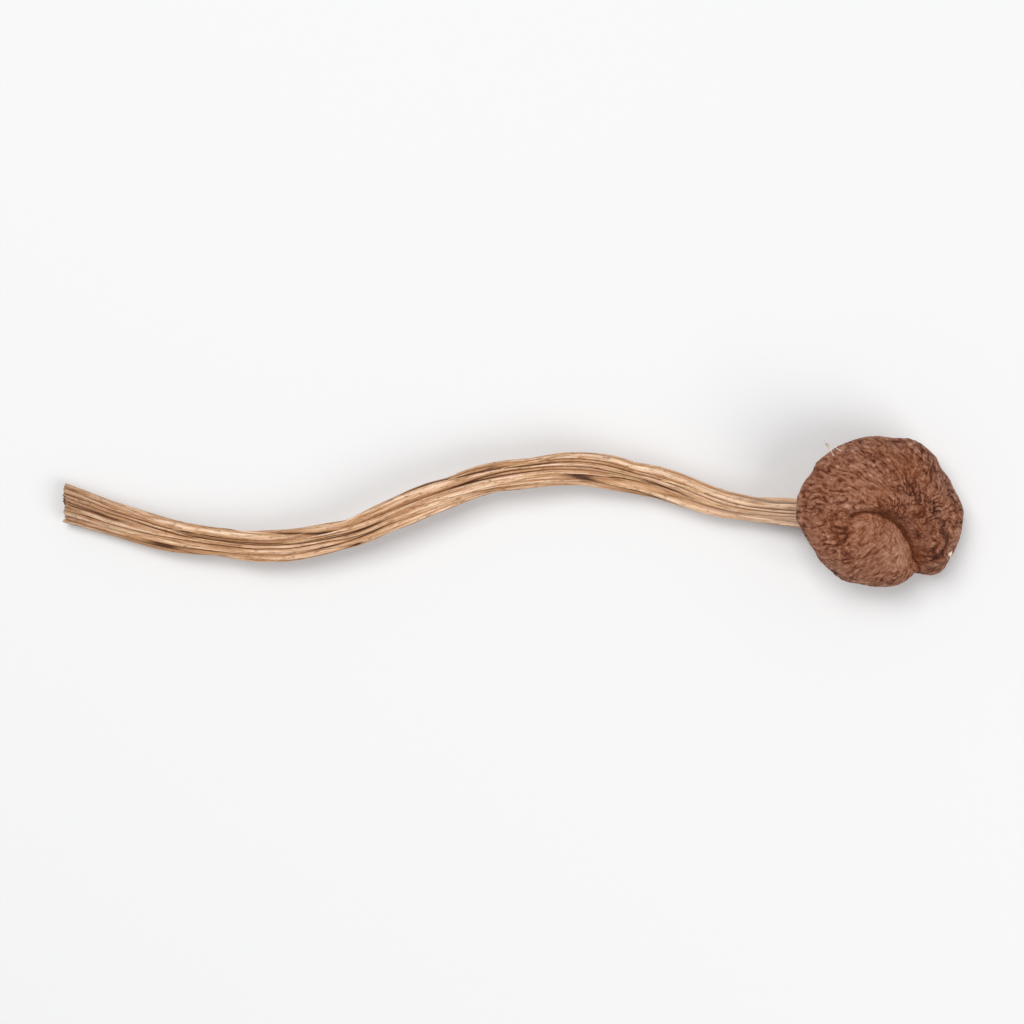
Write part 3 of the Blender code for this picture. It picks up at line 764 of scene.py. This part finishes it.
# %% [markdown]
# ## The ring on the stem
# Where the veil tore away from the stem it left a skirt, which dried into a thin frill that hugs it.
# It is an open tube: its upper edge sits in the stem, and its ragged lower edge stands off a little.

# %% The ring on the stem
RING_SIDES, RING_ROWS = 220, 26
RING_FROM_TOP, RING_DROP, RING_FLARE, RING_THICKNESS = 8.0, 4.0, 0.7, 0.12
MEAN_DROP, SHORTEST_DROP = 0.8, 0.3
DROPS = (0.6, 1.3, 2.0), (0.25, 5.0, 5.0)  # height, waves round, place in the noise
SPLIT, SPLIT_WIDTH, FRAY = 0.5, 0.09, 0.12
FLARE_UNEVEN, FRILL, RING_SUNK = 0.9, 0.3, 0.15

skirt = cut_rod(RING_SIDES, RING_ROWS, False)
angle, down, _ = rod_places(skirt)
drop = MEAN_DROP + sum(height * noise_round(angle, waves, place) for height, waves, place in DROPS)
drop -= SPLIT * bell(noise_round(angle, 2.2, 9.0), SPLIT_WIDTH)
drop -= FRAY * np.abs(noise_round(angle, 19.0, 1.0))
drop = np.maximum(drop, SHORTEST_DROP)
along = stem_length - RING_FROM_TOP - RING_DROP * drop * down
_, _, plain = stem_form(angle, along, stem_length)
flare = RING_FLARE * (1.0 + FLARE_UNEVEN * noise_round(angle, 2.4, 3.0 * down))
flare *= smoothstep(0.0, 0.7, down)
frill = FRILL * noise_round(angle, 7.0, 2.0 * down) * down
move_to(skirt.verts, on_stem(angle, along, plain - RING_SUNK + flare + frill))
smooth_verts(skirt, skirt.verts, 3)
bmesh.ops.recalc_face_normals(skirt, faces=skirt.faces)
thicken(skirt, RING_THICKNESS)
ring_piece = finish_piece("stem_ring", skirt)

# %% [markdown]
# ## Scraps of veil on the rim
# A few small curls of the torn veil still stick to the cap's rim, as pale specks and threads. Each
# is a little grid whose place and directions are read from the cap's own surface.

# %% Scraps on the rim
SCRAPS, SCRAP_THICKNESS = 15, 0.05
SCRAP_STATIONS, SCRAP_LENGTHS, SCRAP_WIDTHS = (5.4, 3.2), (0.6, 1.1), (0.12, 0.35)
STEP_OUT, STEP_ROUND = 0.3, 0.03  # to the neighbours that show which way the skin faces
PLACED_SCRAPS = (  # degrees, station, length, half width, turn, lift
    (-39.0, 3.2, 1.5, 0.42, 0.6, 0.7),
    (132.0, 4.6, 2.7, 0.17, 2.3, 2.4),
    (124.0, 4.6, 1.6, 0.22, 1.2, 0.9),
)

scraps = bmesh.new()
for number in range(SCRAPS):
    pick = (number * GOLDEN_SHARE) % 1.0
    other = (number * GOLDEN_SHARE * 3.7 + 0.4) % 1.0
    size_of = pick_from(pick * other, *SCRAP_LENGTHS), pick_from(pick ** 2, *SCRAP_WIDTHS)
    measures = (360.0 * pick, pick_from(other, *SCRAP_STATIONS), *size_of, 6.0 * other, 0.4)
    if number < len(PLACED_SCRAPS):
        measures = PLACED_SCRAPS[number]
    degrees, scrap_station, scrap_length, scrap_width, turn, lift = measures
    near = STEP_OUT * np.array((0.0, 1.0, -1.0, 0.0, 0.0)) + scrap_station
    round_cap = STEP_ROUND * np.array((0.0, 0.0, 0.0, 1.0, -1.0)) + math.radians(degrees)
    spots = on_cap(*curve_at(CAP_PROFILE, near).T, round_cap)[0]
    down_skin = Vector(spots[1] - spots[2]).normalized()
    out = down_skin.cross(Vector(spots[3] - spots[4])).normalized()
    way = Matrix.Rotation(turn, 3, out) @ down_skin
    scrap = bmesh.ops.create_grid(scraps, x_segments=12, y_segments=2, size=1.0)["verts"]
    for vert in scrap:
        u, v = 0.5 + 0.5 * vert.co.x, vert.co.y
        ragged = 1.0 + 1.3 * noise.noise((4.0 * u, v, 5.3 * number))
        curl = scrap_length * (-0.2 + lift * u + 0.7 * u * u * noise.noise((u, number * 1.7, 0.5)))
        aside = out.cross(way) * (v * scrap_width * math.sin(math.pi * (0.12 + 0.86 * u)) * ragged)
        vert.co = Vector(spots[0]) + way * scrap_length * (u - 0.2) + aside + out * curl
thicken(scraps, SCRAP_THICKNESS)
scraps_piece = finish_piece("rim_scraps", scraps, CAP_PLACE)

# %% [markdown]
# ## Procedural materials
# A material here is a short recipe: it mixes a few colours by what the mesh remembers of itself,
# breaks them up with noise in the piece's own coordinates, and adds a bump too fine for the mesh.
# The helpers below only save typing. Colours are written as they look on a screen, 0 to 255.

# %% Helpers for nodes


def srgb(red, green, blue):
    """A screen colour, 0 to 255, as the linear colour that a node wants."""
    return tuple((c / 255.0 / 12.92) if c <= 10 else ((c / 255.0 + 0.055) / 1.055) ** 2.4
                 for c in (red, green, blue)) + (1.0,)


def plug(node, inputs):
    """Sets a node's inputs to values, or links them to sockets."""
    for key, value in inputs.items():
        if isinstance(value, bpy.types.NodeSocket):
            node.id_data.links.new(value, node.inputs[key])
        else:
            node.inputs[key].default_value = value


def put(tree, kind, inputs, **settings):
    """A node of that kind with its settings and its inputs."""
    node = tree.nodes.new(kind)
    for name, value in settings.items():
        setattr(node, name, value)
    plug(node, inputs)
    return node


def start_material(name):
    """An empty material, its node tree and its surface shader."""
    material = bpy.data.materials.new(name)
    material.use_nodes = True
    return material, material.node_tree, material.node_tree.nodes["Principled BSDF"]


def wear(material, *pieces):
    """Gives pieces their finished material."""
    for piece in pieces:
        piece.data.materials.append(material)
    print(material.name, "has", len(material.node_tree.nodes), "nodes")


# %% Helpers for patterns and colours


def attribute(tree, name, output="Fac"):
    """What the mesh stored under that name."""
    return put(tree, "ShaderNodeAttribute", {}, attribute_name=name).outputs[output]


def here(tree, scale=(1.0, 1.0, 1.0), source=None):
    """The piece's own place in millimetres, or another source of places, stretched by scale."""
    if source is None:
        source = put(tree, "ShaderNodeTexCoord", {}).outputs["Object"]
        scale = tuple(s / MM for s in scale)
    return put(tree, "ShaderNodeMapping", {"Vector": source, "Scale": scale}).outputs["Vector"]


def speckle(tree, place, size, detail=3.0, roughness=0.55, distortion=0.0):
    """Noise whose spots are about size across, around 0.5."""
    inputs = {"Vector": place, "Scale": 1.0 / size, "Detail": detail, "Roughness": roughness}
    return put(tree, "ShaderNodeTexNoise", {**inputs, "Distortion": distortion}).outputs["Fac"]


def ramp(tree, value, *stops):
    """A value turned into a colour by stops: a place, and the red, green and blue there."""
    node = put(tree, "ShaderNodeValToRGB", {"Fac": value})
    elements = node.color_ramp.elements
    while len(elements) < len(stops):
        elements.new(1.0)
    for element, (place, *colour) in zip(elements, stops):
        element.position = place
        element.color = srgb(*colour)
    return node.outputs["Color"]


def level(tree, value, low, high, to_low=0.0, to_high=1.0):
    """A value from low to high spread over to_low to to_high, and clamped."""
    inputs = {"Value": value, "From Min": low, "From Max": high, "To Min": to_low, "To Max": to_high}
    return put(tree, "ShaderNodeMapRange", inputs).outputs["Result"]


def add(tree, a, b):
    """The sum of two values."""
    return put(tree, "ShaderNodeMath", {0: a, 1: b}, operation="ADD").outputs["Value"]


def blend(tree, factor, a, b):
    """Colour a turned into b as factor goes from 0 to 1."""
    return put(tree, "ShaderNodeMix", {0: factor, 6: a, 7: b}, data_type="RGBA").outputs[2]


def coats(tree, colour, *layers):
    """A colour under coats: a value, where it starts, where it is full, its strength there, its colour."""
    for value, low, high, full, *shade in layers:
        colour = blend(tree, level(tree, value, low, high, 0.0, full), colour, srgb(*shade))
    return colour


def bump(tree, height, distance_mm, under=None):
    """A bump of that depth, on top of another if there is one."""
    inputs = {"Height": height, "Distance": distance_mm * MM, "Strength": 1.0}
    if under is not None:
        inputs["Normal"] = under
    return put(tree, "ShaderNodeBump", inputs).outputs["Normal"]


# %% [markdown]
# ## The finish of the cap
# The skin is a reddish brown: nearly black in its valleys, paler and a little less dull on its
# ridges, with patches that are more orange, as the rolled edge is. The dark valleys and pale ridges
# are partly the skin's own colour and partly painted shade and painted highlights. The sunken crease
# gets a paler, redder brown, partly its own colour and partly painted light against its shade, and
# the rim, most at the back, gets painted light. The stored tone carries those colours, so they
# follow the real wrinkles, and noise breaks them up.

# %% The cap's skin
material, tree, surface = start_material("cap_skin")
place = here(tree)
patches = speckle(tree, place, 6.0, 4.0)
mottle = speckle(tree, place, 0.7, 4.0, 0.6)
fine = speckle(tree, place, 0.22, 3.0, 0.6)
fibrils = speckle(tree, here(tree, source=attribute(tree, "lay", "Vector")), 0.42, 3.0, 0.6, 0.3)
sunken = attribute(tree, "sunk")
tone_with_painted_shade_and_light = attribute(tree, "tone")
# The lift of the tone in the sunken crease is painted light against the crease's shade. The mottle and
# fibrils are the skin's own.
for value, low, high, least, most in (
    (mottle, 0.3, 0.7, -0.12, 0.12),
    (fibrils, 0.3, 0.7, -0.22, 0.18),
    (sunken, 0.1, 0.6, 0.0, 0.2),
):
    tone_with_painted_shade_and_light = add(tree, tone_with_painted_shade_and_light, level(tree, value, low, high, least, most))
# The stored tone as colours: the nearly black valleys are partly painted shade, and the palest ridges partly
# painted highlights.
colour = ramp(
    tree, level(tree, tone_with_painted_shade_and_light, 0.0, 1.3),
    (0.20, 38, 13, 7),
    (0.39, 80, 37, 23),
    (0.56, 124, 75, 52),
    (0.76, 164, 115, 90),
    (1.00, 212, 168, 144),
)
colour = coats(
    tree, colour,
    (patches, 0.4, 0.7, 0.4, 132, 72, 38),
    # A paler, redder brown in the sunken crease: partly its own colour, partly painted light against its
    # shade.
    (sunken, 0.1, 0.6, 0.25, 176, 108, 68),
    (attribute(tree, "edge"), 0.2, 1.0, 0.6, 158, 98, 58),
    (fine, 0.62, 0.74, 0.5, 186, 142, 112),
)
coarse_bump = bump(tree, fibrils, 0.16, bump(tree, mottle, 0.12))
plug(surface, {
    "Base Color": blend(tree, attribute(tree, "skin"), srgb(120, 76, 50), colour),
    "Roughness": level(tree, tone_with_painted_shade_and_light, 0.0, 1.0, 0.85, 0.55),
    "Specular IOR Level": 0.12,
    "Normal": bump(tree, fine, 0.09, coarse_bump),
})
wear(material, cap_piece)

# %% [markdown]
# ## The finishes of the gills, the veil and the loose bits
# These are thin and dull, and a ramp of soft blotches is enough for each.

# %% The gills' finish
material, tree, surface = start_material("gills")
place = here(tree)
colour = ramp(tree, speckle(tree, place, 1.6, 4.0), (0.3, 78, 42, 28), (0.7, 138, 88, 60))
fine_bump = bump(tree, speckle(tree, place, 0.25), 0.05)
plug(surface, {"Base Color": colour, "Roughness": 0.85, "Normal": fine_bump})
wear(material, gills_piece)

# %% The veil's finish
material, tree, surface = start_material("veil")
place = here(tree)
colour = ramp(
    tree, speckle(tree, place, 2.2, 5.0, 0.6),
    (0.30, 150, 108, 76),
    (0.48, 206, 172, 134),
    (0.70, 228, 204, 172),
)
colour = coats(tree, colour, (speckle(tree, place, 0.7, 2.0), 0.62, 0.72, 0.7, 110, 70, 48))
fine_bump = bump(tree, speckle(tree, place, 0.35), 0.06)
plug(surface, {"Base Color": colour, "Roughness": 0.8, "Normal": fine_bump})
wear(material, veil_piece, ring_piece)

# %% The finishes of the scraps and the peeled fibres
for name, piece, size, roughness, *stops in (
    ("torn_veil", scraps_piece, 0.9, 0.8, (0.35, 208, 176, 138), (0.60, 250, 238, 218)),
    ("peeled_flesh", peeled_piece, 0.8, 0.7, (0.3, 190, 144, 96), (0.7, 232, 198, 152)),
):
    material, tree, surface = start_material(name)
    colour = ramp(tree, speckle(tree, here(tree), size, 3.0), *stops)
    plug(surface, {"Base Color": colour, "Roughness": roughness})
    wear(material, piece)

# %% [markdown]
# ## The finish of the stem
# Its ribs are cream to tan and its furrows ochre. The ribs' crests get a painted highlight, the deep
# furrows painted shade, and the part near the cap painted light. Its streaks and fibres are noise in
# the stem's own unbent place, so they follow every bend.

# %% The stem's finish
material, tree, surface = start_material("dried_flesh")
grain = attribute(tree, "grain", "Vector")
groove = attribute(tree, "groove")
along = attribute(tree, "along")
streaks = speckle(tree, here(tree, (1.0, 1.0, 0.05), grain), 0.45, 4.0, 0.65)
fibres = speckle(tree, here(tree, (1.0, 1.0, 0.03), grain), 0.16, 3.0, 0.6)
flecks = speckle(tree, here(tree, (1.0, 1.0, 0.3), grain), 0.4, 3.0, 0.7)
patches = speckle(tree, here(tree), 9.0, 4.0)
colour = ramp(
    tree, streaks,
    (0.28, 140, 96, 66),
    (0.42, 192, 147, 109),
    (0.56, 230, 188, 150),
    (0.72, 252, 230, 206),
)
colour = coats(
    tree, colour,
    # Painted highlight on the ribs' crests.
    (groove, 0.3, 0.0, 0.5, 252, 226, 200),
    (flecks, 0.45, 0.34, 0.75, 124, 78, 48),
    (patches, 0.45, 0.7, 0.35, 200, 150, 98),
    (fibres, 0.42, 0.32, 0.5, 146, 94, 60),
    (fibres, 0.60, 0.70, 0.6, 254, 236, 210),
    # Ochre in the furrows, the stem's own colour, and dark in the deep ones: painted shade.
    (groove, 0.2, 0.55, 0.6, 166, 114, 70),
    (groove, 0.54, 0.80, 0.92, 66, 32, 18),
    # Darker towards the base, and painted light near the cap, against the shade that the cap casts.
    (along, 0.12, 0.0, 0.4, 112, 74, 50),
    (along, 0.72, 0.90, 0.28, 250, 220, 196),
)
cut_colour = ramp(
    tree, speckle(tree, grain, 0.5, 4.0, 0.7),
    (0.30, 150, 108, 74),
    (0.50, 206, 172, 132),
    (0.70, 232, 210, 178),
)
cut_colour = coats(tree, cut_colour, (attribute(tree, "pit"), 0.1, 0.8, 0.8, 104, 66, 42))
coarse_bump = bump(tree, flecks, 0.10, bump(tree, streaks, 0.12))
plug(surface, {
    "Base Color": blend(tree, attribute(tree, "cut"), colour, cut_colour),
    "Roughness": level(tree, streaks, 0.3, 0.7, 0.8, 0.6),
    "Specular IOR Level": 0.25,
    "Normal": bump(tree, fibres, 0.06, coarse_bump),
})
wear(material, stem_piece)

# %% [markdown]
# ## Floor, light and camera
# The mushroom lies flat and is seen from straight above. A pale floor, a large soft lamp high at the
# upper left, a larger and weaker one at the lower right and an even pale sky give soft shadows. A
# long lens keeps the view flat, as in a product photograph.

# %% Floor and light
floor_mesh = bmesh.new()
bmesh.ops.create_grid(floor_mesh, x_segments=1, y_segments=1, size=1.5)
mesh = bpy.data.meshes.new("floor")
floor_mesh.to_mesh(mesh)
floor_mesh.free()
floor = new_object("floor", mesh)
material, tree, surface = start_material("floor")
plug(surface, {"Base Color": srgb(230, 229, 227), "Roughness": 0.9})
wear(material, floor)

LAMPS = (  # name, place, size in metres, power in watts
    ("key", (-0.20, 0.28, 0.82), 0.45, 5.0),
    ("fill", (0.50, -0.34, 0.62), 0.60, 3.4),
)
for name, lamp_place, size, power in LAMPS:
    lamp = bpy.data.lights.new(name, "AREA")
    lamp.size = size
    lamp.energy = power
    lamp_object = new_object(name, lamp)
    lamp_object.location = lamp_place
    lamp_object.rotation_euler = (-Vector(lamp_place)).to_track_quat("-Z", "Y").to_euler()

world = bpy.data.worlds.new("studio")
world.use_nodes = True
plug(world.node_tree.nodes["Background"], {"Color": srgb(238, 242, 250), "Strength": 0.42})
bpy.context.scene.world = world
bpy.context.scene.view_settings.view_transform = "Standard"

# %% Camera
CAMERA_HEIGHT = 0.48
camera = bpy.data.cameras.new("camera")
camera.lens = 100.0
camera.sensor_width = 36.0
camera.clip_start = 0.01
camera_object = new_object("camera", camera)
camera_object.location = (0.0, 0.0, CAMERA_HEIGHT)
bpy.context.scene.camera = camera_object
print("the frame is", round(1000 * CAMERA_HEIGHT * camera.sensor_width / camera.lens), "mm wide")
